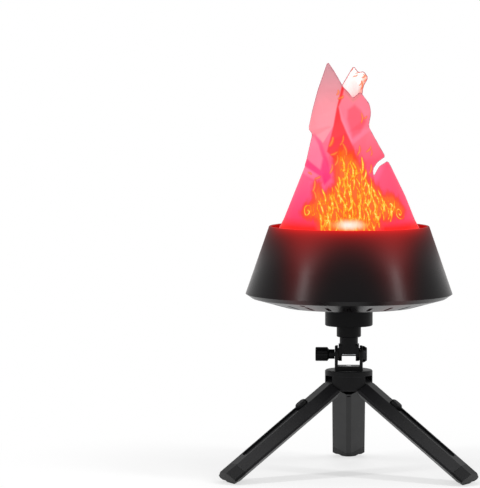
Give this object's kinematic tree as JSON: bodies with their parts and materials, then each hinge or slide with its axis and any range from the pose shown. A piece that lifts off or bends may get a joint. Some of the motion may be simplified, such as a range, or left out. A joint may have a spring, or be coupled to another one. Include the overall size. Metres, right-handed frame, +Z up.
{
  "type": "flame effect lantern on a folding tripod",
  "caption": "Flame effect lantern: a conical bowl with a fan and lamps under a printed silk flame, on a folding table tripod with a tilting head.",
  "frame": {"origin": "on the tripod's axis at floor level", "axes": "+Z up, -Y towards the viewer of the picture, +X to the right"},
  "size_m": [0.26, 0.2492, 0.4195],
  "materials": {
    "bowl_plastic": "satin moulded black plastic",
    "deck_plastic": "satin moulded black plastic, lit red",
    "flame_silk": "thin silk printed with a pattern of flames",
    "lamp_lens": "clear moulded lamp lens, lit",
    "circuit_board": "lacquered fibreglass board",
    "driver_plastic": "moulded component plastic",
    "fan_plastic": "glass-filled moulded plastic",
    "fan_steel": "laminated steel and enamelled copper",
    "tripod_metal": "black powder coat on cast aluminium",
    "tripod_plastic": "moulded black nylon",
    "washer_plastic": "pressed fibre",
    "rubber": "matt black rubber",
    "steel": "zinc plated steel",
    "black_steel": "black oxide steel",
    "brass": "machined brass"
  },
  "bodies": {
    "tripod_hub": {"hub_body": "tripod_metal", "hub_cap": "tripod_metal", "hub_screw": "steel", "hinge_pins": "steel", "lower_fork": "tripod_metal", "clamp_nut": "black_steel"},
    "tilt_head": {"tilt_yoke": "tripod_metal", "friction_washers": "washer_plastic", "pan_screw": "steel"},
    "clamp_knob": {"thumb_knob": "tripod_plastic", "clamp_bolt": "steel"},
    "lantern": {"platform_body": "tripod_plastic", "platform_plate": "tripod_metal", "plate_screws": "steel", "platform_pad": "rubber", "mount_stud": "steel", "bowl_shell": "bowl_plastic", "base_cover": "bowl_plastic", "base_screws": "steel", "thread_insert": "brass", "flame_deck": "deck_plastic", "deck_screws": "steel", "led_board": "circuit_board", "board_screws": "steel", "led_lamps": "lamp_lens", "fan_frame": "fan_plastic", "fan_motor": "fan_steel", "fan_spacers": "fan_plastic", "fan_screws": "steel", "fan_guard": "deck_plastic", "silk_hoop": "steel", "hoop_clips": "deck_plastic", "silk_front": "flame_silk", "silk_back": "flame_silk", "driver_board": "circuit_board", "driver_parts": "driver_plastic", "dc_jack": "driver_plastic", "jack_nut": "steel"},
    "fan_blades": {"fan_rotor": "fan_plastic"},
    "leg_1": {"leg_shell_1": "tripod_metal"},
    "leg_slide_1": {"leg_extension_1": "tripod_metal", "leg_end_cap_1": "tripod_plastic", "leg_foot_1": "rubber", "button_spring_1": "steel"},
    "button_1": {"leg_button_1": "tripod_plastic"},
    "leg_2": {"leg_shell_2": "tripod_metal"},
    "leg_slide_2": {"leg_extension_2": "tripod_metal", "leg_end_cap_2": "tripod_plastic", "leg_foot_2": "rubber", "button_spring_2": "steel"},
    "button_2": {"leg_button_2": "tripod_plastic"},
    "leg_3": {"leg_shell_3": "tripod_metal"},
    "leg_slide_3": {"leg_extension_3": "tripod_metal", "leg_end_cap_3": "tripod_plastic", "leg_foot_3": "rubber", "button_spring_3": "steel"},
    "button_3": {"leg_button_3": "tripod_plastic"}
  },
  "joints": [
    {"name": "tilt", "type": "hinge", "parent": "tripod_hub", "child": "tilt_head", "pos_m": [0, 0, 0.12296], "axis": [1, 0, 0], "range_deg": [-60, 60]},
    {"name": "clamp_turn", "type": "hinge", "parent": "tripod_hub", "child": "clamp_knob", "pos_m": [0, 0, 0.12296], "axis": [-1, 0, 0], "range_deg": [0, 360]},
    {"name": "pan", "type": "hinge", "parent": "tilt_head", "child": "lantern", "pos_m": [0, 0, 0.145], "axis": [0, 0, 1], "continuous": true},
    {"name": "fan_spin", "type": "hinge", "parent": "lantern", "child": "fan_blades", "pos_m": [0, 0, 0.21996], "axis": [0, 0, 1], "continuous": true},
    {"name": "leg_fold_1", "type": "hinge", "parent": "tripod_hub", "child": "leg_1", "pos_m": [0, 0.014, 0.09546], "axis": [-1, 0, 0], "range_deg": [0, 55]},
    {"name": "leg_extend_1", "type": "slide", "parent": "leg_1", "child": "leg_slide_1", "axis": [0, 0.8192, -0.5736], "range_m": [0, 0.074]},
    {"name": "leg_release_1", "type": "slide", "parent": "leg_slide_1", "child": "button_1", "axis": [0, 0.5736, 0.8192], "range_m": [-0.0015, 0], "stiffness_N_per_m": 2000, "springref_m": 0.0005, "deforming": ["button_spring_1"]},
    {"name": "leg_fold_2", "type": "hinge", "parent": "tripod_hub", "child": "leg_2", "pos_m": [-0.01212, -0.007, 0.09546], "axis": [0.5, -0.866, 0], "range_deg": [0, 55]},
    {"name": "leg_extend_2", "type": "slide", "parent": "leg_2", "child": "leg_slide_2", "axis": [-0.7094, -0.4096, -0.5736], "range_m": [0, 0.074]},
    {"name": "leg_release_2", "type": "slide", "parent": "leg_slide_2", "child": "button_2", "axis": [-0.4967, -0.2868, 0.8192], "range_m": [-0.0015, 0], "stiffness_N_per_m": 2000, "springref_m": 0.0005, "deforming": ["button_spring_2"]},
    {"name": "leg_fold_3", "type": "hinge", "parent": "tripod_hub", "child": "leg_3", "pos_m": [0.01212, -0.007, 0.09546], "axis": [0.5, 0.866, 0], "range_deg": [0, 55]},
    {"name": "leg_extend_3", "type": "slide", "parent": "leg_3", "child": "leg_slide_3", "axis": [0.7094, -0.4096, -0.5736], "range_m": [0, 0.074]},
    {"name": "leg_release_3", "type": "slide", "parent": "leg_slide_3", "child": "button_3", "axis": [0.4967, -0.2868, 0.8192], "range_m": [-0.0015, 0], "stiffness_N_per_m": 2000, "springref_m": 0.0005, "deforming": ["button_spring_3"]}
  ]
}
